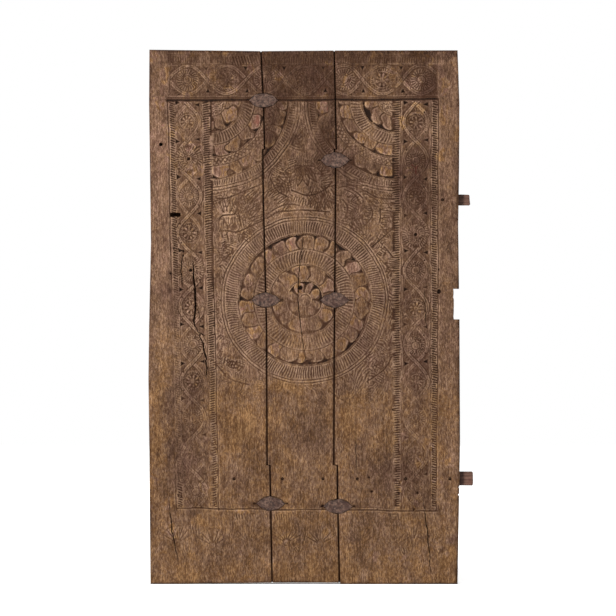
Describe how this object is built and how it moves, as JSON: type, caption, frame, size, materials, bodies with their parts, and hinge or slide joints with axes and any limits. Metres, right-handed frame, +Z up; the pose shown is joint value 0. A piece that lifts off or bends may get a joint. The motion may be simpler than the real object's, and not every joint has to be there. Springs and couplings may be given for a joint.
{
  "type": "carved temple door leaf",
  "caption": "Old carved plank door leaf with medallions, scroll bands and rosettes, lapped seams, forged iron cramps and pinned tie bars that stand out of one edge.",
  "frame": {"origin": "under the middle of the whole leaf, bar ends included, on the level of the bottom edge, at the middle of the overall thickness", "axes": "+Z up, +X to the right when the carved face is looked at, so the carved face looks along -Y and the plain back along +Y"},
  "size_m": [1.043, 0.0494, 1.715],
  "materials": {
    "plank_wood": "old dark-waxed hardwood, chip carved, dry and worn pale at the foot, with drying cracks",
    "bar_wood": "reddish hardwood with the grain along the bar, worn end",
    "pin_wood": "dark end grain, sunk below the face",
    "forged_iron": "hand-forged iron, dull brown with old rust, hammer marks"
  },
  "bodies": {
    "root": {"plank_left": "plank_wood", "plank_middle": "plank_wood", "plank_right": "plank_wood", "tie_bar_upper": "bar_wood", "tie_bar_lower": "bar_wood", "upper_bar_pin_1": "pin_wood", "upper_bar_pin_2": "pin_wood", "upper_bar_pin_3": "pin_wood", "lower_bar_pin_1": "pin_wood", "lower_bar_pin_2": "pin_wood", "lower_bar_pin_3": "pin_wood", "lower_bar_pin_4": "pin_wood", "lower_bar_pin_5": "pin_wood", "lower_bar_pin_6": "pin_wood", "cramp_left_upper": "forged_iron", "cramp_left_middle": "forged_iron", "cramp_left_lower": "forged_iron", "cramp_right_upper": "forged_iron", "cramp_right_middle": "forged_iron", "cramp_right_lower": "forged_iron"}
  },
  "joints": []
}
